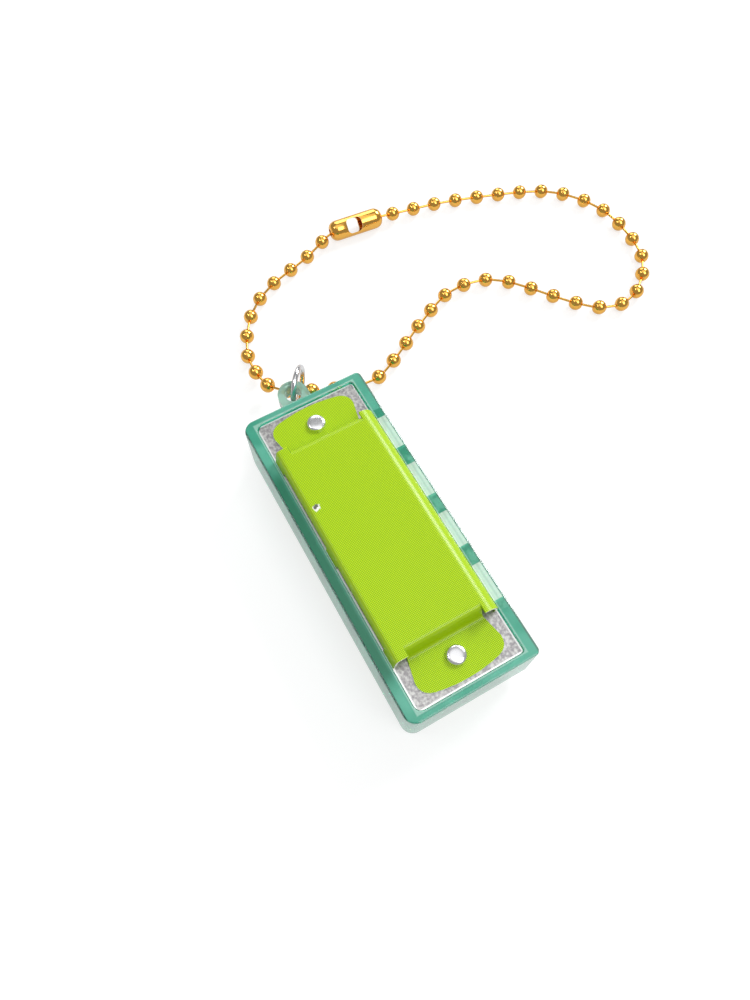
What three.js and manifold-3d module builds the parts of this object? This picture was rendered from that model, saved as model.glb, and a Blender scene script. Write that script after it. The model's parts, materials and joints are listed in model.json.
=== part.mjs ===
// A four-hole mini harmonica with a lug, a jump ring and a ball chain.
// Millimetres, +Z up. +X runs along the comb to the lug, -Y is the mouth side.
// The origin is the centre of the lower cover's flat face, on which the harmonica lies.

import * as THREE from "three";
import { mergeVertices } from "three/addons/utils/BufferGeometryUtils.js";
import Module from "manifold-3d";

// Comb
const combLength = 36;
const combWidth = 14.4;
const combHeight = 7;
const backCornerRadius = 1.3;
const mouthCornerRadius = 0.6;
const combEdgeRound = 0.25;
const endRim = 0.8;
const sideRim = 1.25;
const rimProud = 0.35;
const recessBackRadius = 0.9;
const recessMouthRadius = 0.45;
const backWall = 1.8;

// Mouth holes and the chambers behind them
const holeCount = 4;
const endWall = 6.4;
const holeWidth = 4.1;
const holeHeight = 4.8;
const mouthWall = 1.75;

// Lug at the far end of the comb
const lugReach = 2.45;
const lugRadius = 1.75;
const lugHoleRadius = 0.95;
const lugThickness = 1.6;

// Reed plates
const plateThickness = 0.7;
const plateClearance = 0.1;

// Reeds: the tongues get shorter from the low hole to the high one
const reedWidth = 1.7;
const reedTipWidth = 1.5;
const reedThickness = 0.15;
const reedFootLength = 1.6;
const reedTipGap = 1.3;
const tongueStep = 0.5;
const reedLift = 0.08;
const slotClearance = 0.15;
const reedRivetInset = 1.55;

// Reed rivets
const reedRivetRadius = 0.3;
const reedRivetHeadRadius = 0.6;
const reedRivetHeadHeight = 0.22;
const reedRivetTailRadius = 0.5;
const reedRivetTailHeight = 0.12;
const rivetClearance = 0.05;

// Covers, stamped from one sheet each
const sheet = 0.3;
const coverRise = 2.0;
const coverClearance = 0.15;
const frontRound = 1.5;
const backLean = 0.3;
const backFold = 0.45;
const stepWidth = 8.4;
const stepSetback = 0.65;
const stepRun = 0.45;
const stepCrestRound = 0.55;
const stepFootRound = 0.45;
const tabWidth = 9.5;
const tabLength = 4.4;
const tabEndGap = 0.45;
const tabCorner = 1.2;
const tabEndRadius = 16;
const soundSlotLength = 9.4;
const soundSlotHeight = 0.7;
const soundSlotSpacing = 11.6;

// Rivets through tabs, plates and comb
const rivetInset = 2.83;
const rivetRadius = 0.55;
const rivetHeadRadius = 1.02;
const rivetHeadHeight = 0.5;

// Jump ring: it goes through the lug's hole and round its outer bar
const ringRadius = 2.15;
const ringWireRadius = 0.33;
const ringTurn = THREE.MathUtils.degToRad(40);
const ringDrop = THREE.MathUtils.degToRad(40);
const ringOffset = 0.75;

// Ball chain and its connector
const beadRadius = 0.9;
const beadCount = 46;
const linkRadius = 0.3;
const beadSides = 8;
const beadRings = 4;
const connectorRadius = 1.3;
const connectorWall = 0.28;
const connectorEnd = 0.25;
const connectorShoulder = 1;
const connectorMouthRadius = 0.5;
const connectorClearance = 0.08;
const windowLength = 2.1;
const windowWidth = 1.9;
const windowInset = 2.2;
const windowCorner = 0.6;
const windowTurn = THREE.MathUtils.degToRad(40);

// Points along the chain, from the connector's one end to its other
const chainRoute = [
  [42.9, -18.6, 1.3],
  [43.1, -16.5, 1.28],
  [42.35, -14.65, 1.1],
  [41.25, -11.8, 0.9],
  [39.55, -6.2, 0.9],
  [38.2, -3.6, 0.9],
  [36.25, -1.4, 0.9],
  [33.7, 0.35, 0.9],
  [30.9, 1.5, 0.95],
  [28, 1.7, 1.45],
  [25.05, 1.3, 2.3],
  [22.8, -0.2, 3.2],
  [22.1, -1.4, 3.5],
  [21.4, -2.65, 3.2],
  [20.9, -5.5, 2.1],
  [20.45, -8.4, 1.2],
  [20.5, -11.2, 0.9],
  [21.75, -14.1, 0.9],
  [24.75, -19.5, 0.9],
  [27.1, -24.8, 0.9],
  [27.25, -27.8, 0.9],
  [26.55, -30.6, 0.9],
  [24.9, -32.85, 0.9],
  [18, -38.4, 0.9],
  [15.9, -40.6, 0.9],
  [14.85, -43.25, 0.9],
  [15.25, -45.9, 0.9],
  [16.8, -48.15, 0.9],
  [18.9, -50, 0.9],
  [21.5, -51, 0.9],
  [27.4, -51.05, 0.9],
  [30.3, -50.1, 0.9],
  [32.85, -48.5, 0.9],
  [35.05, -46.3, 0.9],
  [36.6, -43.6, 0.9],
  [38.85, -37.9, 0.9],
  [40.8, -32, 0.9],
  [42, -25.9, 1.09],
  [42.37, -23.7, 1.28],
  [42.57, -21.6, 1.3],
];

// Heights and places that follow from the sizes
const coreHeight = combHeight - 2 * (rimProud + plateThickness);
const lowerOuter = coverRise;
const combBottom = coverRise - rimProud;
const combTop = combBottom + combHeight;
const combMiddle = combBottom + combHeight / 2;
const upperOuter = combTop - rimProud;
const upperInner = combMiddle + coreHeight / 2;
const recessLength = combLength - 2 * endRim;
const recessWidth = combWidth - 2 * sideRim;
const plateLength = recessLength - 2 * plateClearance;
const plateWidth = recessWidth - 2 * plateClearance;
const rivetSpacing = plateLength - 2 * rivetInset;
const tabEnd = plateLength / 2 - tabEndGap;
const tabRoot = tabEnd - tabLength;
const stepCrest = tabRoot - stepRun;
const bodyLength = 2 * (stepCrest + stepSetback);
const chamberBack = combWidth / 2 - backWall;
const chamberFront = -combWidth / 2 + mouthWall;
const holePitch = (combLength - 2 * endWall - holeWidth) / (holeCount - 1);
const reedRivetY = plateWidth / 2 - reedRivetInset;
const longestTongue = chamberBack - reedTipGap + reedRivetY - reedFootLength / 2;
const lugX = combLength / 2 + lugReach;
const cutMargin = 1;
const joinDepth = 0.6;
const roundSides = 24;
const smallSides = 12;
const wireSides = 10;
const ringSteps = 28;
const cornerSteps = 5;
const bendSteps = 6;
const frontSteps = 6;
const headSteps = 4;
const shoulderSteps = 5;

// Solids with manifold-3d
const wasm = await Module();
wasm.setup();

function solidOf(geometry) {
  const bare = geometry.clone();
  bare.deleteAttribute("normal");
  bare.deleteAttribute("uv");
  const merged = mergeVertices(bare, 1e-4);
  return new wasm.Manifold(
    new wasm.Mesh({
      numProp: 3,
      vertProperties: new Float32Array(merged.attributes.position.array),
      triVerts: new Uint32Array(merged.index.array),
    }),
  );
}

function geometryOf(solid) {
  const mesh = solid.getMesh();
  const geometry = new THREE.BufferGeometry();
  geometry.setAttribute("position", new THREE.BufferAttribute(mesh.vertProperties, 3));
  geometry.setIndex(new THREE.BufferAttribute(mesh.triVerts, 1));
  geometry.computeVertexNormals();
  return geometry;
}

function boxSolid(low, high) {
  const size = high.map((value, axis) => value - low[axis]);
  const geometry = new THREE.BoxGeometry(...size);
  geometry.translate(...low.map((value, axis) => value + size[axis] / 2));
  return solidOf(geometry);
}

function postSolid(radius, x, y, low, high, sides) {
  const geometry = new THREE.CylinderGeometry(radius, radius, high - low, sides);
  geometry.rotateX(Math.PI / 2);
  geometry.translate(x, y, (low + high) / 2);
  return solidOf(geometry);
}

function slabGeometry(shape, low, high, curveSegments) {
  const geometry = new THREE.ExtrudeGeometry(shape, {
    depth: high - low,
    bevelEnabled: false,
    curveSegments,
  });
  geometry.translate(0, 0, low);
  return geometry;
}

// Outlines
function roundedRectangle(length, width, backRadius, mouthRadius) {
  const shape = new THREE.Shape();
  const x = length / 2;
  const y = width / 2;
  shape.absarc(x - backRadius, y - backRadius, backRadius, 0, Math.PI / 2);
  shape.absarc(-x + backRadius, y - backRadius, backRadius, Math.PI / 2, Math.PI);
  shape.absarc(-x + mouthRadius, -y + mouthRadius, mouthRadius, Math.PI, 1.5 * Math.PI);
  shape.absarc(x - mouthRadius, -y + mouthRadius, mouthRadius, 1.5 * Math.PI, 2 * Math.PI);
  return shape;
}

function lugOutline() {
  const shape = new THREE.Shape();
  const root = combLength / 2 - endRim / 2;
  shape.moveTo(root, -lugRadius);
  shape.lineTo(lugX, -lugRadius);
  shape.absarc(lugX, 0, lugRadius, -Math.PI / 2, Math.PI / 2);
  shape.lineTo(root, lugRadius);
  shape.closePath();
  return shape;
}

// The section of a bent sheet: the path is its outer face, and the metal lies to the right of it
function sheetOutline(path, thickness) {
  const normals = path.slice(1).map((point, i) => {
    const along = point.clone().sub(path[i]).normalize();
    return new THREE.Vector2(-along.y, along.x);
  });
  const inner = path.map((point, i) => {
    const before = normals[Math.max(i - 1, 0)];
    const after = normals[Math.min(i, normals.length - 1)];
    const mitre = before.clone().add(after).normalize();
    return point.clone().addScaledVector(mitre, -thickness / mitre.dot(before));
  });
  return new THREE.Shape([...path, ...inner.reverse()].reverse());
}

// A path through its corners, each of which is rounded by a short curve
function roundedPath(corners, rounds) {
  const path = [corners[0].clone()];
  for (let i = 1; i < corners.length - 1; i++) {
    const corner = corners[i];
    const round = rounds[i - 1];
    const back = corners[i - 1].clone().sub(corner).setLength(round).add(corner);
    const on = corners[i + 1].clone().sub(corner).setLength(round).add(corner);
    path.push(...new THREE.QuadraticBezierCurve(back, corner, on).getPoints(bendSteps));
  }
  path.push(corners[corners.length - 1].clone());
  return path;
}

// Comb: a rounded block with a recess for each plate, four chambers, rivet holes and a lug
function chamberCentres() {
  return Array.from({ length: holeCount }, (_, i) => (i - (holeCount - 1) / 2) * holePitch);
}

function combGeometry() {
  const outline = roundedRectangle(combLength, combWidth, backCornerRadius, mouthCornerRadius);
  const blank = new THREE.ExtrudeGeometry(outline, {
    depth: combHeight - 2 * combEdgeRound,
    bevelEnabled: true,
    bevelThickness: combEdgeRound,
    bevelSize: combEdgeRound,
    bevelOffset: -combEdgeRound,
    bevelSegments: 2,
    curveSegments: cornerSteps,
  });
  blank.translate(0, 0, combBottom + combEdgeRound);
  const recess = roundedRectangle(recessLength, recessWidth, recessBackRadius, recessMouthRadius);
  const lugLow = combMiddle - lugThickness / 2;
  const lugHigh = combMiddle + lugThickness / 2;
  let comb = solidOf(blank);
  comb = comb.add(solidOf(slabGeometry(lugOutline(), lugLow, lugHigh, roundSides / 2)));
  comb = comb.subtract(
    postSolid(lugHoleRadius, lugX, 0, lugLow - cutMargin, lugHigh + cutMargin, roundSides),
  );
  const floorHigh = combMiddle + coreHeight / 2;
  const floorLow = combMiddle - coreHeight / 2;
  comb = comb.subtract(solidOf(slabGeometry(recess, floorHigh, combTop + cutMargin, cornerSteps)));
  comb = comb.subtract(solidOf(slabGeometry(recess, combBottom - cutMargin, floorLow, cornerSteps)));
  for (const x of chamberCentres()) {
    const left = x - holeWidth / 2;
    const right = x + holeWidth / 2;
    const mouth = boxSolid(
      [left, -combWidth / 2 - cutMargin, combMiddle - holeHeight / 2],
      [right, chamberFront + joinDepth, combMiddle + holeHeight / 2],
    );
    const chamber = boxSolid(
      [left, chamberFront, floorLow - rimProud],
      [right, chamberBack, floorHigh + rimProud],
    );
    comb = comb.subtract(mouth).subtract(chamber);
  }
  for (const x of [-rivetSpacing / 2, rivetSpacing / 2]) {
    const hole = postSolid(
      rivetRadius + rivetClearance,
      x,
      0,
      combBottom - cutMargin,
      combTop + cutMargin,
      roundSides,
    );
    comb = comb.subtract(hole);
  }
  return geometryOf(comb);
}

// Reeds: one record for each, with the plate face that it lies on and the way that it points
function reedList() {
  return chamberCentres().flatMap((x, i) => {
    const tongue = longestTongue - i * tongueStep;
    const rivetY = reedRivetY;
    return [
      { name: `blow_reed_${i + 1}`, x, tongue, rivetY: -rivetY, points: 1, face: upperInner, plate: "upper" },
      { name: `draw_reed_${i + 1}`, x, tongue, rivetY, points: -1, face: lowerOuter, plate: "lower" },
    ];
  });
}

function reedGeometry(reed) {
  const shape = new THREE.Shape();
  const foot = reedFootLength / 2;
  const tip = foot + reed.tongue;
  shape.moveTo(-reedWidth / 2, -foot);
  shape.lineTo(reedWidth / 2, -foot);
  shape.lineTo(reedWidth / 2, foot);
  shape.lineTo(reedTipWidth / 2, tip);
  shape.lineTo(-reedTipWidth / 2, tip);
  shape.lineTo(-reedWidth / 2, foot);
  shape.closePath();
  const hole = new THREE.Path();
  hole.absarc(0, 0, reedRivetRadius + rivetClearance, 0, 2 * Math.PI, true);
  shape.holes.push(hole);
  const geometry = slabGeometry(shape, -reedThickness / 2, reedThickness / 2, smallSides / 2);
  if (reed.points < 0) geometry.rotateZ(Math.PI);
  return geometry;
}

// Both kinds of reed lie below the face of their plate
function reedHeight(reed) {
  return reed.face - reedLift - reedThickness / 2;
}

function reedRivetGeometry() {
  const headFace = -(2 * reedLift + reedThickness);
  const dome = domePoints(reedRivetHeadRadius, reedRivetHeadHeight, headSteps / 2);
  const profile = [
    ...dome.map(([radius, height]) => [radius, headFace - height]).reverse(),
    [reedRivetRadius, headFace],
    [reedRivetRadius, plateThickness],
    [reedRivetTailRadius, plateThickness],
    [reedRivetTailRadius, plateThickness + reedRivetTailHeight],
    [0, plateThickness + reedRivetTailHeight],
  ];
  return turned(profile, smallSides);
}

// A domed head, as points from its rim to its crown
function domePoints(radius, height, steps) {
  return Array.from({ length: steps + 1 }, (_, i) => {
    const angle = (i / steps) * (Math.PI / 2);
    return [i === steps ? 0 : radius * Math.cos(angle), height * Math.sin(angle)];
  });
}

function turned(profile, sides) {
  const points = profile.map(([radius, height]) => new THREE.Vector2(radius, height));
  const geometry = new THREE.LatheGeometry(points, sides);
  geometry.rotateX(Math.PI / 2);
  return geometry;
}

function plateGeometry(side) {
  const low = side === "upper" ? upperInner : lowerOuter;
  const high = low + plateThickness;
  const outline = roundedRectangle(
    plateLength,
    plateWidth,
    recessBackRadius - plateClearance,
    recessMouthRadius - plateClearance,
  );
  let plate = solidOf(slabGeometry(outline, low, high, cornerSteps));
  for (const reed of reedList().filter((each) => each.plate === side)) {
    const start = reed.rivetY + reed.points * (reedFootLength / 2 + slotClearance);
    const end = reed.rivetY + reed.points * (reedFootLength / 2 + reed.tongue + slotClearance);
    const slot = boxSolid(
      [reed.x - reedWidth / 2 - slotClearance, Math.min(start, end), low - cutMargin],
      [reed.x + reedWidth / 2 + slotClearance, Math.max(start, end), high + cutMargin],
    );
    const hole = postSolid(
      reedRivetRadius + rivetClearance,
      reed.x,
      reed.rivetY,
      low - cutMargin,
      high + cutMargin,
      smallSides,
    );
    plate = plate.subtract(slot).subtract(hole);
  }
  for (const x of [-rivetSpacing / 2, rivetSpacing / 2]) {
    const hole = postSolid(rivetRadius + rivetClearance, x, 0, low - cutMargin, high + cutMargin, roundSides);
    plate = plate.subtract(hole);
  }
  return geometryOf(plate);
}

// Cover, with the face of its plate at height 0
function coverSection() {
  const front = -recessWidth / 2 + coverClearance;
  const back = recessWidth / 2 - coverClearance;
  const path = [new THREE.Vector2(front, 0)];
  for (let i = 0; i <= frontSteps; i++) {
    const angle = Math.PI - (i / frontSteps) * (Math.PI / 2);
    path.push(
      new THREE.Vector2(
        front + frontRound + frontRound * Math.cos(angle),
        coverRise - frontRound + frontRound * Math.sin(angle),
      ),
    );
  }
  const crest = path[path.length - 1];
  const fold = new THREE.Vector2(back - backLean, coverRise);
  path.push(...roundedPath([crest, fold, new THREE.Vector2(back, 0)], [backFold]).slice(1));
  return sheetOutline(path, sheet);
}

function stepSection() {
  const path = roundedPath(
    [
      new THREE.Vector2(stepCrest - stepCrestRound - joinDepth, coverRise),
      new THREE.Vector2(stepCrest, coverRise),
      new THREE.Vector2(tabRoot, sheet),
      new THREE.Vector2(tabRoot + stepFootRound + joinDepth, sheet),
    ],
    [stepCrestRound, stepFootRound],
  );
  return sheetOutline(path, sheet);
}

function tabOutline() {
  const half = tabWidth / 2;
  const centre = tabEnd - tabEndRadius;
  const cornerX = centre + Math.sqrt(tabEndRadius ** 2 - half ** 2);
  const turn = Math.asin((half - tabCorner) / tabEndRadius);
  const shape = new THREE.Shape();
  shape.moveTo(tabRoot, -stepWidth / 2);
  shape.lineTo(cornerX - tabCorner, -half);
  shape.quadraticCurveTo(cornerX, -half, centre + tabEndRadius * Math.cos(turn), -half + tabCorner);
  shape.absarc(centre, 0, tabEndRadius, -turn, turn);
  shape.quadraticCurveTo(cornerX, half, cornerX - tabCorner, half);
  shape.lineTo(tabRoot, stepWidth / 2);
  shape.closePath();
  return shape;
}

function coverGeometry() {
  const alongX = new THREE.Matrix4().makeBasis(
    new THREE.Vector3(0, 1, 0),
    new THREE.Vector3(0, 0, 1),
    new THREE.Vector3(1, 0, 0),
  );
  const alongY = new THREE.Matrix4().makeBasis(
    new THREE.Vector3(1, 0, 0),
    new THREE.Vector3(0, 0, 1),
    new THREE.Vector3(0, -1, 0),
  );
  const body = slabGeometry(coverSection(), -bodyLength / 2, bodyLength / 2, 1).applyMatrix4(alongX);
  const step = slabGeometry(stepSection(), -stepWidth / 2, stepWidth / 2, 1).applyMatrix4(alongY);
  const tab = slabGeometry(tabOutline(), 0, sheet, cornerSteps);
  let cover = solidOf(body).intersect(
    boxSolid([-combLength, -combWidth, 0], [combLength, combWidth, coverRise + cutMargin]),
  );
  for (const turn of [0, Math.PI]) {
    const notch = boxSolid(
      [stepCrest - stepCrestRound, -stepWidth / 2, -cutMargin],
      [bodyLength / 2 + cutMargin, stepWidth / 2, coverRise + cutMargin],
    );
    const turnDegrees = [0, 0, THREE.MathUtils.radToDeg(turn)];
    cover = cover.subtract(notch.rotate(turnDegrees));
    cover = cover.add(solidOf(step).rotate(turnDegrees));
    cover = cover.add(solidOf(tab).rotate(turnDegrees));
  }
  for (const side of [-1, 1]) {
    const hole = postSolid(
      rivetRadius + rivetClearance,
      (side * rivetSpacing) / 2,
      0,
      -cutMargin,
      sheet + cutMargin,
      roundSides,
    );
    const middle = (side * soundSlotSpacing) / 2;
    const slot = boxSolid(
      [middle - soundSlotLength / 2, recessWidth / 2 - cutMargin, -cutMargin],
      [middle + soundSlotLength / 2, recessWidth / 2 + cutMargin, soundSlotHeight],
    );
    cover = cover.subtract(hole).subtract(slot);
  }
  return geometryOf(cover);
}

// Rivet with a domed head at each end, about the middle of the comb
function rivetGeometry() {
  const seat = combHeight / 2 - rimProud + sheet;
  const dome = domePoints(rivetHeadRadius, rivetHeadHeight, headSteps);
  const upperHalf = [[rivetRadius, seat], ...dome.map(([radius, height]) => [radius, seat + height])];
  const lowerHalf = upperHalf.map(([radius, height]) => [radius, -height]).reverse();
  return turned([...lowerHalf, ...upperHalf], roundSides);
}

// Jump ring, about the middle of the lug's bar
const barReach = (lugHoleRadius + lugRadius) / 2;
const barX = lugX + barReach * Math.cos(ringTurn);
const barY = -barReach * Math.sin(ringTurn);

function ringGeometry() {
  const geometry = new THREE.TorusGeometry(ringRadius, ringWireRadius, wireSides, ringSteps);
  geometry.translate(ringOffset * Math.cos(ringDrop), -ringOffset * Math.sin(ringDrop), 0);
  geometry.rotateX(Math.PI / 2);
  return geometry;
}

// Ball chain: rings of points along the route, wide at the beads and narrow at the links between them
const chainCurve = new THREE.CatmullRomCurve3(chainRoute.map((point) => new THREE.Vector3(...point)));
chainCurve.arcLengthDivisions = 2000;

function chainSections() {
  const length = chainCurve.getLength();
  const pitch = (length - 2 * beadRadius) / (beadCount - 1);
  const first = Math.asin(linkRadius / beadRadius);
  const sections = [];
  for (let bead = 0; bead < beadCount; bead++) {
    const middle = beadRadius + bead * pitch;
    for (let ring = 0; ring <= beadRings; ring++) {
      const angle = first + (ring / beadRings) * (Math.PI - 2 * first);
      const place = (middle - beadRadius * Math.cos(angle)) / length;
      sections.push({ place, radius: beadRadius * Math.sin(angle) });
    }
  }
  return sections;
}

function chainGeometry() {
  const sections = chainSections();
  const positions = [];
  const index = [];
  const side = new THREE.Vector3();
  const up = new THREE.Vector3(0, 0, 1);
  const lift = new THREE.Vector3();
  for (const { place, radius } of sections) {
    const centre = chainCurve.getPointAt(place);
    const along = chainCurve.getTangentAt(place);
    side.crossVectors(along, up).normalize();
    lift.crossVectors(side, along);
    for (let i = 0; i < beadSides; i++) {
      const angle = ((i + 0.5) / beadSides) * 2 * Math.PI;
      const point = centre.clone();
      point.addScaledVector(side, radius * Math.cos(angle));
      point.addScaledVector(lift, radius * Math.sin(angle));
      positions.push(...point.toArray());
    }
  }
  for (let ring = 0; ring < sections.length - 1; ring++) {
    for (let i = 0; i < beadSides; i++) {
      const a = ring * beadSides + i;
      const b = ring * beadSides + ((i + 1) % beadSides);
      index.push(a, a + beadSides, b, b, a + beadSides, b + beadSides);
    }
  }
  const last = (sections.length - 1) * beadSides;
  for (let i = 1; i < beadSides - 1; i++) {
    index.push(0, i, i + 1);
    index.push(last, last + i + 1, last + i);
  }
  const geometry = new THREE.BufferGeometry();
  geometry.setAttribute("position", new THREE.Float32BufferAttribute(positions, 3));
  geometry.setIndex(index);
  geometry.computeVertexNormals();
  return geometry;
}

// Connector: a sleeve with drawn-in ends round the two end beads, and a window right through it
const connectorStart = new THREE.Vector3(...chainRoute[0]);
const connectorFinish = new THREE.Vector3(...chainRoute[chainRoute.length - 1]);
const connectorOverhang = 2 * beadRadius + connectorEnd + connectorClearance;
const connectorLength = connectorStart.distanceTo(connectorFinish) + 2 * connectorOverhang;

function drawnIn(radius, length, start) {
  return Array.from({ length: shoulderSteps + 1 }, (_, i) => {
    const angle = (i / shoulderSteps) * (Math.PI / 2);
    const spread = (radius - connectorMouthRadius) * Math.sin(angle);
    return [connectorMouthRadius + spread, start - length * (1 - Math.cos(angle))];
  });
}

function connectorGeometry() {
  const half = connectorLength / 2;
  const bore = connectorRadius - connectorWall;
  const outerEnd = drawnIn(connectorRadius, connectorShoulder, half);
  const innerEnd = drawnIn(bore, connectorShoulder - connectorWall, half - connectorEnd);
  const mirrored = (end) => end.map(([radius, height]) => [radius, -height]);
  const profile = [
    ...mirrored(outerEnd),
    ...outerEnd.toReversed(),
    ...innerEnd,
    ...mirrored(innerEnd).reverse(),
    [connectorMouthRadius, -half],
  ];
  const points = profile.map(([radius, height]) => new THREE.Vector2(radius, height));
  const sleeve = new THREE.LatheGeometry(points, roundSides);
  sleeve.rotateX(Math.PI / 2);
  sleeve.rotateY(Math.PI / 2);
  const window = roundedRectangle(windowLength, windowWidth, windowCorner, windowCorner);
  const reach = connectorRadius + cutMargin;
  const cut = slabGeometry(window, -reach, reach, cornerSteps);
  cut.rotateX(windowTurn);
  cut.translate(-half + windowInset + windowLength / 2, 0, 0);
  return geometryOf(solidOf(sleeve).subtract(solidOf(cut)));
}

// Materials
function finish(colour, roughness, metalness, opacity = 1) {
  return new THREE.MeshStandardMaterial({
    color: colour,
    roughness,
    metalness,
    opacity,
    transparent: opacity < 1,
  });
}

const tealPlastic = finish(0x5fb89c, 0.15, 0, 0.7);
const limePrint = finish(0xa8d71a, 0.3, 0.1);
const plateMetal = finish(0xb9b9bd, 0.45, 0.8);
const reedBrass = finish(0xc9a85c, 0.35, 0.9);
const silver = finish(0xdfe0e4, 0.25, 0.9);
const gold = finish(0xdba23a, 0.25, 0.9);

// The assembly
const harmonica = new THREE.Group();

function place(name, geometry, material, x = 0, y = 0, z = 0) {
  const mesh = new THREE.Mesh(geometry, material);
  mesh.name = name;
  mesh.position.set(x, y, z);
  harmonica.add(mesh);
  return mesh;
}

place("comb", combGeometry(), tealPlastic);
place("upper_reed_plate", plateGeometry("upper"), plateMetal);
place("lower_reed_plate", plateGeometry("lower"), plateMetal);
for (const reed of reedList()) {
  place(reed.name, reedGeometry(reed), reedBrass, reed.x, reed.rivetY, reedHeight(reed));
  place(`${reed.name}_rivet`, reedRivetGeometry(), silver, reed.x, reed.rivetY, reed.face);
}
place("upper_cover", coverGeometry(), limePrint, 0, 0, upperOuter);
place("lower_cover", coverGeometry(), limePrint, 0, 0, lowerOuter).rotation.y = Math.PI;
place("far_rivet", rivetGeometry(), silver, rivetSpacing / 2, 0, combMiddle);
place("near_rivet", rivetGeometry(), silver, -rivetSpacing / 2, 0, combMiddle);
place("jump_ring", ringGeometry(), silver, barX, barY, combMiddle).rotation.z = -ringTurn;
place("ball_chain", chainGeometry(), gold);
const connectorMiddle = connectorStart.clone().add(connectorFinish).divideScalar(2);
const connector = place("chain_connector", connectorGeometry(), gold, ...connectorMiddle.toArray());
connector.rotation.z = Math.atan2(
  connectorFinish.y - connectorStart.y,
  connectorFinish.x - connectorStart.x,
);

export default harmonica;
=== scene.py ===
"""Looks of the mini harmonica: clear teal comb, printed tin covers, metal plates, ring and chain."""
import json
import math

import bpy
from mathutils import Matrix, Vector


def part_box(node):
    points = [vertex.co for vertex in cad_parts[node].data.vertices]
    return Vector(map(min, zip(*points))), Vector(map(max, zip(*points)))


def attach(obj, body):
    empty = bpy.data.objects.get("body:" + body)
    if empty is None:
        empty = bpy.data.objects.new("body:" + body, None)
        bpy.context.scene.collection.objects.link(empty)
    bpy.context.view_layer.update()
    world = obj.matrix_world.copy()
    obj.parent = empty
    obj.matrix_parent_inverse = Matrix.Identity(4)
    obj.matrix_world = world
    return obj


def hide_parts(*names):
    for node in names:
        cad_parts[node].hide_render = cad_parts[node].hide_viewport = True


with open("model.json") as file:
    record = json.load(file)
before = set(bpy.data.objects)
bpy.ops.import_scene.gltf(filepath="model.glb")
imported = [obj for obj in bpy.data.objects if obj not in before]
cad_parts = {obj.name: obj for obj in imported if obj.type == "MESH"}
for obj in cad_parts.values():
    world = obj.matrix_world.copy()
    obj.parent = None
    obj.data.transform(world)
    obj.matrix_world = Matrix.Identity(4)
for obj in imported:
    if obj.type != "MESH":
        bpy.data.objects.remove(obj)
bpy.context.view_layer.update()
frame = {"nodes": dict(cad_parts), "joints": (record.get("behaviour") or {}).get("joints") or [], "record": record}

MM = 0.001
nodes = frame["nodes"]

# Camera, at the photograph's viewing angle
camera_place = Vector((-24.436, 14.081, 80.828)) * MM
camera_look = Vector((0.35300, -0.19280, -0.91554))
camera_right = Vector((-0.48837, -0.87262, -0.00454))
focal_share = 0.76858
sensor_size = 36
clip_near = 1 * MM
clip_far = 10

# Ball chain, with its route in millimetres
bead_radius = 0.9 * MM
bead_count = 46
bead_mouth = 0.4 * MM
link_radius = 0.15 * MM
link_sink = 0.1 * MM
bead_sides = 18
bead_rings = 12
route_steps = 40
chain_route = [
    (42.9, -18.6, 1.3),
    (43.1, -16.5, 1.28),
    (42.35, -14.65, 1.1),
    (41.25, -11.8, 0.9),
    (39.55, -6.2, 0.9),
    (38.2, -3.6, 0.9),
    (36.25, -1.4, 0.9),
    (33.7, 0.35, 0.9),
    (30.9, 1.5, 0.95),
    (28, 1.7, 1.45),
    (25.05, 1.3, 2.3),
    (22.8, -0.2, 3.2),
    (22.1, -1.4, 3.5),
    (21.4, -2.65, 3.2),
    (20.9, -5.5, 2.1),
    (20.45, -8.4, 1.2),
    (20.5, -11.2, 0.9),
    (21.75, -14.1, 0.9),
    (24.75, -19.5, 0.9),
    (27.1, -24.8, 0.9),
    (27.25, -27.8, 0.9),
    (26.55, -30.6, 0.9),
    (24.9, -32.85, 0.9),
    (18, -38.4, 0.9),
    (15.9, -40.6, 0.9),
    (14.85, -43.25, 0.9),
    (15.25, -45.9, 0.9),
    (16.8, -48.15, 0.9),
    (18.9, -50, 0.9),
    (21.5, -51, 0.9),
    (27.4, -51.05, 0.9),
    (30.3, -50.1, 0.9),
    (32.85, -48.5, 0.9),
    (35.05, -46.3, 0.9),
    (36.6, -43.6, 0.9),
    (38.85, -37.9, 0.9),
    (40.8, -32, 0.9),
    (42, -25.9, 1.09),
    (42.37, -23.7, 1.28),
    (42.57, -21.6, 1.3),
]

# Jump ring
ring_wire = 0.33 * MM
ring_gap = math.radians(4)
ring_steps = 96
wire_sides = 20

# Rivets
rivet_sides = 48
rivet_shank = 0.55 * MM
rivet_head = 1.02 * MM
rivet_crown = 0.5 * MM
rivet_flatness = 0.55
crown_steps = 16

# Rounded edges
comb_edge = 0.12 * MM
comb_edge_steps = 3
plate_edge = 0.06 * MM
cover_edge = 0.08 * MM
connector_edge = 0.06 * MM
edge_steps = 2
weld_reach = 0.002 * MM
flat_angle = math.radians(0.5)
bend_angle = math.radians(35)
crease_angle = math.radians(40)

# Comb and plates, in millimetres, as far as their finish follows their form
comb_low, comb_high = (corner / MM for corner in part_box("comb"))
comb_middle = (comb_low.z + comb_high.z) / 2
comb_half = (comb_high.z - comb_low.z) / 2
comb_mouth = -comb_low.y
comb_end = -comb_low.x
plate_end, plate_side = (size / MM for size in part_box("upper_reed_plate")[1].xy)
hole_count = 4
hole_pitch = 6.367
hole_half = 2.05

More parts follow.
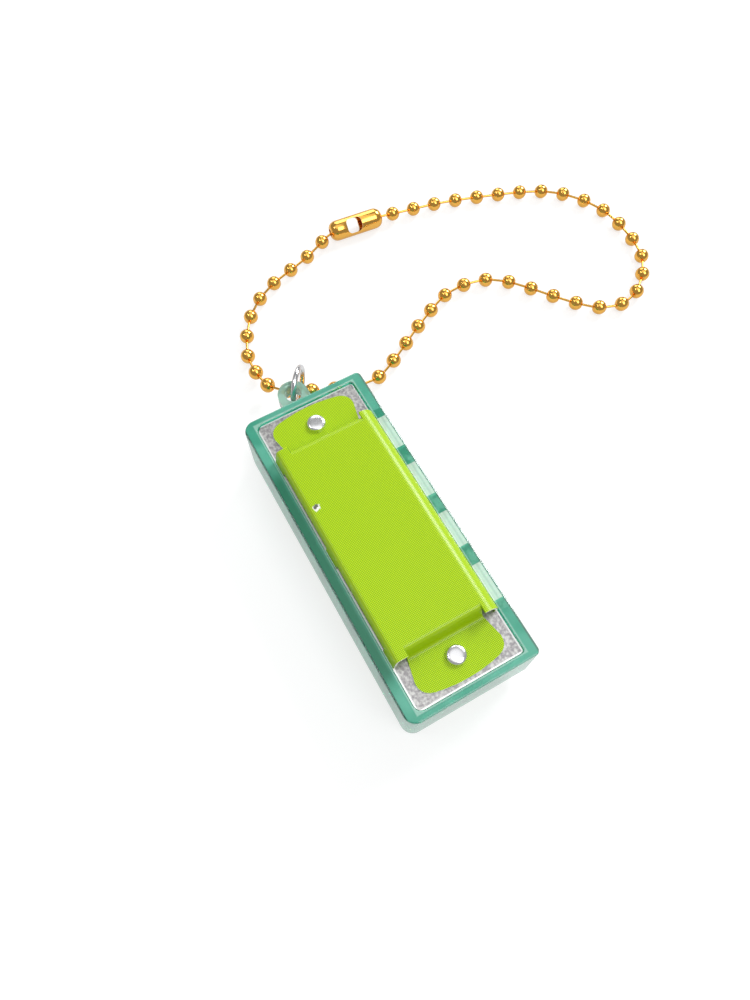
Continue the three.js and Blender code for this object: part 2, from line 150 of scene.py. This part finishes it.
# Zones of the clear plastic in millimetres; a pair is the start and the end of a soft step
face_depth = (0.22, 0.1)
hole_blur = 0.05
hole_row_blur = 0.1
# Lips over the mouth holes, where the light seen through the holes is painted, with a painted line of shade across
# them
lip_depth = 1.5
lip_blur = 0.1
lip_shade_line_depth = 0.7
lip_shade_line_width = (0.16, 0.05)
# Where the painted shade along the back rim lies
chamber_far_end = (11.3, 9.6)
chamber_near_end = (-15.5, -11.5)
chamber_back_half = (0, 1)
chamber_depth = (1.1, 0.8)
# Widths of the painted lines of shade along the rim's long edges
mouth_shade_line_width = (0.34, 0.2)
back_shade_line_width = (0.24, 0.12)
line_width_change = (-1, 1)
line_colour_change = (1.5, 0.8)
# Width of the painted highlight along the edge of the plate's recess
recess_highlight_width = (-0.3, -0.15)
# Length over which the sides grow paler towards the near end, as painted light
near_end_length = 5
lug_blur = 1

# Colours, patch sizes, strengths and clearness of the plastic
rim_dark = (0.065, 0.38, 0.26)
rim_pale = (0.125, 0.47, 0.345)
rim_patch = 4 * MM
rim_meeting = (0.35, 0.65)
# Painted shade along the back rim, over the reed chambers
chamber_shade_colour = (0.025, 0.255, 0.15)
# Painted shade on the rim between the mouth holes, with tone that differs at random
block_shade_dark = (0.045, 0.3, 0.2)
block_shade_pale = (0.12, 0.44, 0.32)
block_patch = 1.2 * MM
block_meeting = (0.4, 0.6)
# Painted light over the mouth holes, and a painted line of shade across it
lip_light_colour = (0.62, 0.76, 0.68)
lip_shade_line_colour = (0.36, 0.52, 0.45)
lip_shade_line_strength = 0.45
# Painted highlight along the edge of the plate's recess, white where it crosses the painted light over the holes
recess_highlight_colour = (0.5, 0.78, 0.67)
recess_lip_highlight_colour = (1, 1, 1)
recess_highlight_strength = 0.6
# Painted lines of shade along the rim's long edges
mouth_shade_line_colour = (0.13, 0.25, 0.2)
back_shade_line_colour = (0.015, 0.09, 0.06)
side_colour = (0.14, 0.78, 0.56)
# The near end's side painted paler, as light through the plastic
lit_near_side_colour = (0.55, 1, 0.82)
lug_colour = (0.4, 0.63, 0.53)
side_clearness = 0.6
# Less clear at the near end, with the painted light there
lit_near_side_clearness = 0.42
face_clearness = 0.25
lug_clearness = 0.6
plastic_roughness = 0.06
plastic_ior = 1.49

# Printed tin: lengths in millimetres, tilts as shares of a face's normal along one axis
screen_pitch = 0.32
dot_meeting = (-0.5, 0.5)
dot_dark = (0.12, 0.3, 0.0003)
dot_pale = (0.56, 0.78, 0.002)
plain_lime = (0.36, 0.57, 0.001)
level_tilt = (0.75, 0.95)
upright_tilt = (0.6, 0.4)
endwise_tilt = (0.97, 0.99)
tab_start = 12.75
tab_blur = 0.1
cut_edge_colour = (0.85, 0.85, 0.8)
chip_place = (4.86, 4.75)
chip_size = 0.75
chip_edge_shares = (1.1, 0.9)
chip_ragged_patch = 0.25 * MM
chip_side_blur = 0.1
chip_dark = (0.12, 0.13, 0.1)
chip_pale = (0.85, 0.85, 0.82)
chip_patch = 0.4 * MM
chip_meeting = (0.4, 0.55)
print_roughness = 0.4
gloss_weight = 0.8
gloss_roughness = 0.32

# Reed plates
plate_dark = (0.32, 0.305, 0.32)
plate_pale = (0.66, 0.66, 0.64)
plate_patch = 0.3 * MM
plate_patch_detail = 5.0
plate_meeting = (0.3, 0.7)
# Painted highlight along the plate's edge
edge_highlight_colour = (0.98, 0.98, 0.98)
edge_highlight_width = (0.22, 0.12)
plate_roughness = 0.38

# Plain metals, each with its colour and roughness
plain_metals = {
    "reed_brass": ((0.72, 0.52, 0.2), 0.3),
    "rivet_metal": ((0.85, 0.85, 0.87), 0.22),
    "ring_steel": ((0.75, 0.75, 0.77), 0.12),
    "gold_plate": ((0.93, 0.5, 0.1), 0.16),
}

# Floor and sky
floor_reach = 1.5
floor_colour = 0.35
floor_lift = 0.72
floor_glow = 0.45
sky_fill = 0.45
sky_zenith = 1.3
sky_side = 0.35
sky_patch = (0.86, 1.0)

# Lamps, each with its name, its place and its two sides in metres, and its power
lamps = [
    ("far_end", Vector((0.85, -0.35, 0.5)), (0.5, 0.5), 2.2),
    ("mouth_side", Vector((0.3, -0.75, 0.58)), (0.35, 0.3), 6.5),
    ("back_side", Vector((0.3, 0.5, 0.81)), (0.45, 0.04), 1.0),
    ("above_viewer", Vector((-0.5, -0.195, 0.85)), (0.6, 0.4), 2.8),
]


# Meshes
def mesh_object(name, points, faces):
    mesh = bpy.data.meshes.new(name)
    mesh.from_pydata([tuple(point) for point in points], [], faces)
    mesh.validate()
    mesh.shade_smooth()
    mesh.set_sharp_from_angle(angle=crease_angle)
    made = bpy.data.objects.new(name, mesh)
    bpy.context.scene.collection.objects.link(made)
    return made


def swept(sections, sides):
    """Points and faces of a closed tube through sections of centre, side, lift and radius."""
    points = []
    for centre, side, lift, radius in sections:
        for i in range(sides):
            angle = 2 * math.pi * (i + 0.5) / sides
            points.append(centre + radius * (math.cos(angle) * side + math.sin(angle) * lift))
    faces = []
    for ring in range(len(sections) - 1):
        for i in range(sides):
            a = ring * sides + i
            b = ring * sides + (i + 1) % sides
            faces.append((a, a + sides, b + sides, b))
    last = (len(sections) - 1) * sides
    faces.append(tuple(range(sides)))
    faces.append(tuple(last + i for i in reversed(range(sides))))
    return points, faces


def turned(profile, sides):
    """Points and faces of a solid turned about Z from pairs of radius and height."""
    points = [Vector((0, 0, profile[0][1]))]
    for radius, height in profile[1:-1]:
        for i in range(sides):
            angle = 2 * math.pi * i / sides
            points.append(Vector((radius * math.cos(angle), radius * math.sin(angle), height)))
    points.append(Vector((0, 0, profile[-1][1])))
    top = len(points) - 1
    rings = len(profile) - 2
    faces = []
    for i in range(sides):
        j = (i + 1) % sides
        faces.append((0, 1 + j, 1 + i))
        for ring in range(rings - 1):
            low = 1 + ring * sides
            faces.append((low + i, low + j, low + sides + j, low + sides + i))
        high = 1 + (rings - 1) * sides
        faces.append((high + i, high + j, top))
    return points, faces


# The chain's route
def smooth_curve(points):
    """A line of short steps that bends smoothly through the points."""
    before = points[0] + (points[0] - points[1])
    after = points[-1] + (points[-1] - points[-2])
    ends = [before, *points, after]
    line = []
    for i in range(len(points) - 1):
        a, b, c, d = ends[i : i + 4]
        gap_ab = math.sqrt((b - a).length)
        gap_bc = math.sqrt((c - b).length)
        gap_cd = math.sqrt((d - c).length)
        leave = (b - a) / gap_ab - (c - a) / (gap_ab + gap_bc) + (c - b) / gap_bc
        arrive = (c - b) / gap_bc - (d - b) / (gap_bc + gap_cd) + (d - c) / gap_cd
        leave = leave * gap_bc
        arrive = arrive * gap_bc
        for step in range(route_steps):
            t = step / route_steps
            line.append(
                b
                + leave * t
                + (3 * (c - b) - 2 * leave - arrive) * t**2
                + (2 * (b - c) + leave + arrive) * t**3
            )
    line.append(points[-1])
    return line


def line_length(line):
    return sum((b - a).length for a, b in zip(line, line[1:]))


def along_line(line, distances):
    """The point and the direction of the line at each distance, in rising order."""
    found = []
    walked = 0
    i = 0
    for distance in distances:
        step = (line[i + 1] - line[i]).length
        while i < len(line) - 2 and walked + step < distance:
            walked += step
            i += 1
            step = (line[i + 1] - line[i]).length
        direction = (line[i + 1] - line[i]).normalized()
        found.append((line[i] + direction * (distance - walked), direction))
    return found


def chain_profile(length):
    """Distance and radius of each section: a bead with a sunk mouth at each end, then the link."""
    pitch = (length - 2 * bead_radius) / (bead_count - 1)
    first = math.asin(bead_mouth / bead_radius)
    edge = bead_radius * math.cos(first)
    sections = []
    for bead in range(bead_count):
        middle = bead_radius + bead * pitch
        sections.append((middle - edge + link_sink, link_radius))
        for ring in range(bead_rings + 1):
            angle = first + (math.pi - 2 * first) * ring / bead_rings
            sections.append((middle - bead_radius * math.cos(angle), bead_radius * math.sin(angle)))
        sections.append((middle + edge - link_sink, link_radius))
    return sections


# Pieces that take the place of plainer solids
def make_chain():
    """Beads with a sunk mouth at each end, on thin links along the whole route."""
    line = smooth_curve([Vector(point) * MM for point in chain_route])
    length = line_length(line)
    profile = chain_profile(length)
    order = sorted(range(len(profile)), key=lambda i: profile[i][0])
    placed = along_line(line, [profile[i][0] for i in order])
    spots = dict(zip(order, placed))
    sections = []
    for i, (_, radius) in enumerate(profile):
        centre, along = spots[i]
        side = along.cross(Vector((0, 0, 1))).normalized()
        sections.append((centre, side, side.cross(along), radius))
    chain = mesh_object("chain_beads", *swept(sections, bead_sides))
    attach(chain, "frame")
    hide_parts("ball_chain")
    return chain


def make_ring():
    """A ring of wire about the joint's axis, with a narrow gap where its ends meet."""
    low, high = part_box("jump_ring")
    centre = (low + high) / 2
    radius = (high.z - low.z) / 2 - ring_wire
    joint = next(j for j in frame["joints"] if j["child"] == "jump_ring")
    axis = Vector(joint["axis"]).normalized()
    up = Vector((0, 0, 1))
    across = axis.cross(up).normalized()
    sections = []
    for step in range(ring_steps + 1):
        angle = -math.pi / 2 + ring_gap / 2 + (2 * math.pi - ring_gap) * step / ring_steps
        outward = math.cos(angle) * across + math.sin(angle) * up
        sections.append((centre + radius * outward, outward, axis, ring_wire))
    ring = mesh_object("jump_ring_wire", *swept(sections, wire_sides))
    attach(ring, "jump_ring")
    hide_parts("jump_ring")
    return ring


def rivet_profile(seat):
    """One rivet from its lower crown to its upper one, about the middle of its shank."""
    upper = [(rivet_shank, seat)]
    for i in range(crown_steps):
        angle = math.pi / 2 * i / crown_steps
        radius = rivet_head * math.cos(angle) ** rivet_flatness
        upper.append((radius, seat + rivet_crown * math.sin(angle) ** rivet_flatness))
    upper.append((0, seat + rivet_crown))
    lower = [(radius, -height) for radius, height in reversed(upper)]
    return lower + upper


def make_rivet(node):
    """A rivet with a rounded head at each end, in the box of the plain one."""
    low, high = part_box(node)
    centre = (low + high) / 2
    seat = (high.z - low.z) / 2 - rivet_crown
    points, faces = turned(rivet_profile(seat), rivet_sides)
    rivet = mesh_object(node + "_turned", [centre + point for point in points], faces)
    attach(rivet, "frame")
    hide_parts(node)
    return rivet


# Modifiers that round the edges of a solid and smooth its bends
def smoothing_group():
    """Shades faces smooth, and keeps the edges that are sharper than a bend."""
    group = bpy.data.node_groups.new("smooth_bends", "GeometryNodeTree")
    group.interface.new_socket("Geometry", in_out="INPUT", socket_type="NodeSocketGeometry")
    group.interface.new_socket("Geometry", in_out="OUTPUT", socket_type="NodeSocketGeometry")
    start = group.nodes.new("NodeGroupInput")
    end = group.nodes.new("NodeGroupOutput")
    edge_angle = group.nodes.new("GeometryNodeInputMeshEdgeAngle")
    is_sharp = group.nodes.new("FunctionNodeCompare")
    is_sharp.operation = "GREATER_THAN"
    is_sharp.inputs["B"].default_value = bend_angle
    round_faces = group.nodes.new("GeometryNodeSetShadeSmooth")
    sharp_edges = group.nodes.new("GeometryNodeSetShadeSmooth")
    sharp_edges.domain = "EDGE"
    sharp_edges.inputs["Shade Smooth"].default_value = False
    links = group.links
    links.new(start.outputs[0], round_faces.inputs["Geometry"])
    links.new(round_faces.outputs[0], sharp_edges.inputs["Geometry"])
    links.new(edge_angle.outputs["Unsigned Angle"], is_sharp.inputs["A"])
    links.new(is_sharp.outputs[0], sharp_edges.inputs["Selection"])
    links.new(sharp_edges.outputs[0], end.inputs[0])
    return group


smooth_bends = smoothing_group()


def soften(obj, edge=0, steps=edge_steps):
    """Joins and flattens the faces of a solid, rounds its edges and smooths its bends."""
    weld = obj.modifiers.new("weld", "WELD")
    weld.merge_threshold = weld_reach
    flat = obj.modifiers.new("flat", "DECIMATE")
    flat.decimate_type = "DISSOLVE"
    flat.angle_limit = flat_angle
    if edge:
        bevel = obj.modifiers.new("bevel", "BEVEL")
        bevel.width = edge
        bevel.segments = steps
        bevel.limit_method = "ANGLE"
        bevel.angle_limit = bend_angle
        bevel.use_clamp_overlap = True
    smooth = obj.modifiers.new("smooth", "NODES")
    smooth.node_group = smooth_bends
    weighted = obj.modifiers.new("weighted", "WEIGHTED_NORMAL")
    weighted.keep_sharp = True


# Building blocks of the materials
def new_material(name):
    """A material with its tree of nodes and its shader."""
    made = bpy.data.materials.new(name)
    made.use_nodes = True
    return made, made.node_tree, made.node_tree.nodes["Principled BSDF"]


def add(tree, kind, inputs=None, **settings):
    """A node with its settings made and its inputs linked or set."""
    made = tree.nodes.new(kind)
    for key, value in settings.items():
        setattr(made, key, value)
    for key, value in (inputs or {}).items():
        if isinstance(value, bpy.types.NodeSocket):
            tree.links.new(value, made.inputs[key])
        else:
            made.inputs[key].default_value = value
    return made


def place_in_object(tree):
    """The place of a point of the surface, in millimetres along the object's axes."""
    here = add(tree, "ShaderNodeTexCoord").outputs["Object"]
    scaled = add(tree, "ShaderNodeVectorMath", {0: here, "Scale": 1 / MM}, operation="SCALE")
    return add(tree, "ShaderNodeSeparateXYZ", {0: scaled.outputs[0]}).outputs


def tilt_of_face(tree):
    """The shares of a face's normal along X and along Z, without their signs."""
    normal = add(tree, "ShaderNodeTexCoord").outputs["Normal"]
    along_x, _, along_z = add(tree, "ShaderNodeSeparateXYZ", {0: normal}).outputs
    return absolute(tree, along_x), absolute(tree, along_z)


def calculate(tree, kind, first, second=0):
    return add(tree, "ShaderNodeMath", {0: first, 1: second}, operation=kind).outputs[0]


def absolute(tree, value):
    return calculate(tree, "ABSOLUTE", value)


def both(tree, first, second):
    """The share in which two zones overlap."""
    return calculate(tree, "MULTIPLY", first, second)


def ramp(tree, value, start, end, low=0.0, high=1.0):
    """A soft step from low to high while the value goes from start to end."""
    step = add(
        tree,
        "ShaderNodeMapRange",
        {"Value": value, "From Min": start, "From Max": end, "To Min": low, "To Max": high},
        interpolation_type="SMOOTHSTEP",
    )
    return step.outputs[0]


def blend(tree, share, first, second):
    """A colour that goes from the first to the second as the share goes from 0 to 1."""
    mixed = add(tree, "ShaderNodeMix", {0: share}, data_type="RGBA")
    for place, value in ((6, first), (7, second)):
        if isinstance(value, bpy.types.NodeSocket):
            tree.links.new(value, mixed.inputs[place])
        else:
            mixed.inputs[place].default_value = (*value, 1)
    return mixed.outputs[2]


def inward(tree, x, y, end, side):
    """How far a point lies inside a rectangle about the origin."""
    from_end = calculate(tree, "SUBTRACT", end, absolute(tree, x))
    from_side = calculate(tree, "SUBTRACT", side, absolute(tree, y))
    return calculate(tree, "MINIMUM", from_end, from_side)


def mottle(tree, size, detail=2.0):
    """Noise with patches of about the given size."""
    here = add(tree, "ShaderNodeTexCoord").outputs["Object"]
    noise = {"Vector": here, "Scale": 1 / size, "Detail": detail}
    return add(tree, "ShaderNodeTexNoise", noise).outputs[0]


def patches(tree, noise, meeting, dark, pale):
    """Dark and pale patches that meet softly in a range of the noise."""
    return blend(tree, ramp(tree, noise, *meeting), dark, pale)


# Clear teal plastic
def hole_row(tree, x, y):
    """The strip of the rim above the row of mouth holes, where shade is painted, and in it the lips over the
    holes, where light is painted.
    """
    row_half = hole_pitch * hole_count / 2
    wall_half = hole_pitch / 2 - hole_half
    from_wall = calculate(tree, "PINGPONG", calculate(tree, "ADD", x, row_half), hole_pitch / 2)
    over_hole = ramp(tree, from_wall, wall_half - hole_blur, wall_half + hole_blur)
    within = ramp(tree, absolute(tree, x), row_half, row_half - hole_row_blur)
    lip_end = lip_depth - comb_mouth
    at_mouth = ramp(tree, y, lip_end + lip_blur, lip_end - lip_blur)
    row = both(tree, within, at_mouth)
    return row, both(tree, over_hole, row)


def chamber_shade_zone(tree, x, y, depth):
    """The outer strip of the back rim, as far as the reed chambers reach, where shade is painted darker."""
    along = both(tree, ramp(tree, x, *chamber_far_end), ramp(tree, x, *chamber_near_end))
    at_back = both(tree, ramp(tree, y, *chamber_back_half), ramp(tree, depth, *chamber_depth))
    return both(tree, along, at_back)


def border_shade_line(tree, y):
    """A painted line of shade along the two long edges of the rim, and its colour."""
    from_side = calculate(tree, "SUBTRACT", comb_mouth, absolute(tree, y))
    widths = zip(mouth_shade_line_width, back_shade_line_width)
    start, end = (ramp(tree, y, *line_width_change, *width) for width in widths)
    change = (comb_mouth - distance for distance in line_colour_change)
    at_back = ramp(tree, y, *change)
    colour = blend(tree, at_back, mouth_shade_line_colour, back_shade_line_colour)
    return ramp(tree, from_side, start, end), colour


def rim_colour(tree, x, y):
    """The colour of the rim's broad faces, from the body of the rim to its lines, with painted light over the
    holes and painted shade and highlights elsewhere.
    """
    depth = inward(tree, x, y, comb_end, comb_mouth)
    row, lit_lip = hole_row(tree, x, y)
    # A painted line of shade across the painted light over the holes
    from_lip_shade_line = absolute(tree, calculate(tree, "SUBTRACT", depth, lip_shade_line_depth))
    lip_shade_line = ramp(tree, from_lip_shade_line, *lip_shade_line_width, 0, lip_shade_line_strength)
    # A painted highlight along the edge of the plate's recess
    in_plate = inward(tree, x, y, plate_end, plate_side)
    recess_highlight = ramp(tree, in_plate, *recess_highlight_width, 0, recess_highlight_strength)
    border_shade, border_shade_colour = border_shade_line(tree, y)
    colour = patches(tree, mottle(tree, rim_patch), rim_meeting, rim_dark, rim_pale)
    # Painted shade along the back rim
    colour = blend(tree, chamber_shade_zone(tree, x, y, depth), colour, chamber_shade_colour)
    # Painted shade over the row of mouth holes, between the holes
    shaded_block = patches(tree, mottle(tree, block_patch), block_meeting, block_shade_dark, block_shade_pale)
    colour = blend(tree, row, colour, shaded_block)
    # Painted light over the mouth holes, crossed by a painted line of shade
    colour = blend(tree, lit_lip, colour, blend(tree, lip_shade_line, lip_light_colour, lip_shade_line_colour))
    colour = blend(tree, recess_highlight, colour, blend(tree, lit_lip, recess_highlight_colour, recess_lip_highlight_colour))
    # Painted lines of shade along the long edges
    return blend(tree, border_shade, colour, border_shade_colour)


def clear_teal():
    """Tinted clear plastic: deep on the broad rims, with painted light and shade on them; on the sides paler
    towards the near end, as painted light; paler on the lug.
    """
    made, tree, shader = new_material("clear_teal")
    x, y, z = place_in_object(tree)
    rise = absolute(tree, calculate(tree, "SUBTRACT", z, comb_middle))
    on_face = ramp(tree, rise, *(comb_half - distance for distance in face_depth))
    # Painted light: the sides grow paler and less clear towards the near end
    lit_near_end = ramp(tree, x, near_end_length - comb_end, -comb_end)
    on_lug = ramp(tree, x, comb_end, comb_end + lug_blur)
    side = blend(tree, lit_near_end, side_colour, lit_near_side_colour)
    colour = blend(tree, on_face, side, rim_colour(tree, x, y))
    colour = blend(tree, on_lug, colour, lug_colour)
    clearness = ramp(tree, lit_near_end, 0, 1, side_clearness, lit_near_side_clearness)
    clearness = ramp(tree, on_face, 0, 1, clearness, face_clearness)
    clearness = ramp(tree, on_lug, 0, 1, clearness, lug_clearness)
    tree.links.new(colour, shader.inputs["Base Color"])
    tree.links.new(clearness, shader.inputs["Transmission Weight"])
    shader.inputs["Roughness"].default_value = plastic_roughness
    shader.inputs["IOR"].default_value = plastic_ior
    return made


# Printed tin
def dot_screen(tree, x, y):
    """Rows of dots along both diagonals."""
    waves = []
    for kind in ("ADD", "SUBTRACT"):
        slant = calculate(tree, kind, x, y)
        phase = calculate(tree, "MULTIPLY", slant, 2 * math.pi / screen_pitch)
        waves.append(calculate(tree, "SINE", phase))
    return patches(tree, calculate(tree, "MULTIPLY", *waves), dot_meeting, dot_dark, dot_pale)


def cut_edges(tree, x, tilt_x, tilt_z):
    """The faces where the sheet was cut: those that look along X, and the upright ones of a tab."""
    on_tab = ramp(tree, absolute(tree, x), tab_start, tab_start + tab_blur)
    upright = ramp(tree, tilt_z, *upright_tilt)
    endwise = ramp(tree, tilt_x, *endwise_tilt)
    return calculate(tree, "MAXIMUM", endwise, both(tree, on_tab, upright))


def chip_zone(tree, x, y, z):
    """A ragged spot on the upper cover."""
    squares = []
    for value, middle in zip((x, y), chip_place):
        gap = calculate(tree, "SUBTRACT", value, middle)
        squares.append(calculate(tree, "POWER", absolute(tree, gap), 2))
    distance = calculate(tree, "SQRT", calculate(tree, "ADD", *squares))
    ragged = calculate(tree, "MULTIPLY", mottle(tree, chip_ragged_patch), chip_size)
    reach = calculate(tree, "ADD", distance, ragged)
    spot = ramp(tree, reach, *(chip_size * share for share in chip_edge_shares))
    on_top = ramp(tree, z, comb_middle - chip_side_blur, comb_middle + chip_side_blur)
    return both(tree, spot, on_top)


def printed_lime():
    """Lime print with a fine screen of dots and a clear gloss, bare at the cuts and in one chip."""
    made, tree, shader = new_material("printed_lime")
    x, y, z = place_in_object(tree)
    tilt_x, tilt_z = tilt_of_face(tree)
    level = ramp(tree, tilt_z, *level_tilt)
    colour = blend(tree, level, plain_lime, dot_screen(tree, x, y))
    colour = blend(tree, cut_edges(tree, x, tilt_x, tilt_z), colour, cut_edge_colour)
    bare = patches(tree, mottle(tree, chip_patch), chip_meeting, chip_dark, chip_pale)
    colour = blend(tree, chip_zone(tree, x, y, z), colour, bare)
    tree.links.new(colour, shader.inputs["Base Color"])
    shader.inputs["Roughness"].default_value = print_roughness
    shader.inputs["Specular IOR Level"].default_value = 0
    shader.inputs["Coat Weight"].default_value = gloss_weight
    shader.inputs["Coat Roughness"].default_value = gloss_roughness
    return made


# Metals
def plain_metal(name, colour, roughness):
    made, _, shader = new_material(name)
    shader.inputs["Base Color"].default_value = (*colour, 1)
    shader.inputs["Metallic"].default_value = 1
    shader.inputs["Roughness"].default_value = roughness
    return made


def plate_metal():
    """Rolled sheet with fine pale flecks, and a painted highlight along its edge."""
    made, tree, shader = new_material("plate_metal")
    x, y, _ = place_in_object(tree)
    flecks = mottle(tree, plate_patch, plate_patch_detail)
    sheet = patches(tree, flecks, plate_meeting, plate_dark, plate_pale)
    # A painted highlight along the plate's edge
    at_edge = ramp(tree, inward(tree, x, y, plate_end, plate_side), *edge_highlight_width)
    tree.links.new(blend(tree, at_edge, sheet, edge_highlight_colour), shader.inputs["Base Color"])
    shader.inputs["Metallic"].default_value = 1
    shader.inputs["Roughness"].default_value = plate_roughness
    return made


# The pieces and their finishes
def paint(obj, made):
    if not obj.material_slots:
        obj.data.materials.append(made)
    for place in obj.material_slots:
        place.link = "OBJECT"
        place.material = made


finishes = {
    "teal_clear_plastic": clear_teal(),
    "lime_printed_tin": printed_lime(),
    "plate_metal": plate_metal(),
}
for metal_name, (metal_colour, metal_roughness) in plain_metals.items():
    finishes[metal_name] = plain_metal(metal_name, metal_colour, metal_roughness)

for subpart in frame["record"]["subparts"]:
    paint(nodes[subpart["node"]], finishes[subpart["material_slot"]])

paint(make_chain(), finishes["gold_plate"])
paint(make_ring(), finishes["ring_steel"])
for rivet_node in ("far_rivet", "near_rivet"):
    paint(make_rivet(rivet_node), finishes["rivet_metal"])

soften(nodes["comb"], comb_edge, comb_edge_steps)
for plate_node in ("upper_reed_plate", "lower_reed_plate"):
    soften(nodes[plate_node], plate_edge)
for cover_node in ("upper_cover", "lower_cover"):
    soften(nodes[cover_node], cover_edge)
soften(nodes["chain_connector"], connector_edge)
for reed_node in nodes:
    if "_reed_" in reed_node and "plate" not in reed_node:
        soften(nodes[reed_node])


# Floor, light and camera
def make_floor():
    """A pale floor that glows, more where it is seen than where it lights the part."""
    corners = [(-1, -1), (1, -1), (1, 1), (-1, 1)]
    points = [Vector((x * floor_reach, y * floor_reach, 0)) for x, y in corners]
    floor = mesh_object("floor", points, [(0, 1, 2, 3)])
    made, tree, shader = new_material("floor")
    shader.inputs["Base Color"].default_value = (floor_colour, floor_colour, floor_colour, 1)
    shader.inputs["Roughness"].default_value = 1
    shader.inputs["Specular IOR Level"].default_value = 0
    path = add(tree, "ShaderNodeLightPath").outputs
    seen = calculate(tree, "MAXIMUM", path["Is Camera Ray"], path["Is Transmission Ray"])
    glow = ramp(tree, seen, 0, 1, floor_glow, floor_lift)
    shader.inputs["Emission Color"].default_value = (1, 1, 1, 1)
    tree.links.new(glow, shader.inputs["Emission Strength"])
    paint(floor, made)


def make_sky():
    """White where it is seen, an even fill, and for reflections a bright patch overhead."""
    world = bpy.data.worlds.new("studio")
    bpy.context.scene.world = world
    world.use_nodes = True
    tree = world.node_tree
    path = add(tree, "ShaderNodeLightPath").outputs
    direction = add(tree, "ShaderNodeTexCoord").outputs["Generated"]
    height = add(tree, "ShaderNodeSeparateXYZ", {0: direction}).outputs[2]
    mirrored = ramp(tree, height, *sky_patch, sky_side, sky_zenith)
    white = calculate(tree, "MAXIMUM", path["Is Camera Ray"], path["Is Transmission Ray"])
    gloss = path["Is Glossy Ray"]
    fill = calculate(tree, "MULTIPLY", calculate(tree, "SUBTRACT", 1, gloss), sky_fill)
    lit = calculate(tree, "ADD", calculate(tree, "MULTIPLY", gloss, mirrored), fill)
    sky = tree.nodes["Background"]
    sky.inputs["Color"].default_value = (1, 1, 1, 1)
    tree.links.new(calculate(tree, "MAXIMUM", lit, white), sky.inputs["Strength"])


def make_lamp(name, place, sides, power):
    """A soft lamp that faces the origin, with its first side as near to X as it can lie."""
    lamp = bpy.data.lights.new(name, "AREA")
    lamp.shape = "RECTANGLE"
    lamp.size, lamp.size_y = sides
    lamp.energy = power
    made = bpy.data.objects.new(name, lamp)
    back = place.normalized()
    side = Vector((1, 0, 0))
    side = (side - back * side.dot(back)).normalized()
    turn = Matrix((side, back.cross(side), back)).transposed()
    made.matrix_world = Matrix.Translation(place) @ turn.to_4x4()
    bpy.context.scene.collection.objects.link(made)


def make_camera():
    lens = bpy.data.cameras.new("camera")
    lens.sensor_width = sensor_size
    lens.lens = focal_share * sensor_size
    lens.clip_start = clip_near
    lens.clip_end = clip_far
    made = bpy.data.objects.new("camera", lens)
    up = camera_right.cross(camera_look).normalized()
    turn = Matrix((camera_right, up, -camera_look)).transposed()
    made.matrix_world = Matrix.Translation(camera_place) @ turn.to_4x4()
    bpy.context.scene.collection.objects.link(made)
    bpy.context.scene.camera = made


make_floor()
make_sky()
for lamp_values in lamps:
    make_lamp(*lamp_values)
make_camera()
bpy.context.scene.view_settings.view_transform = "Standard"
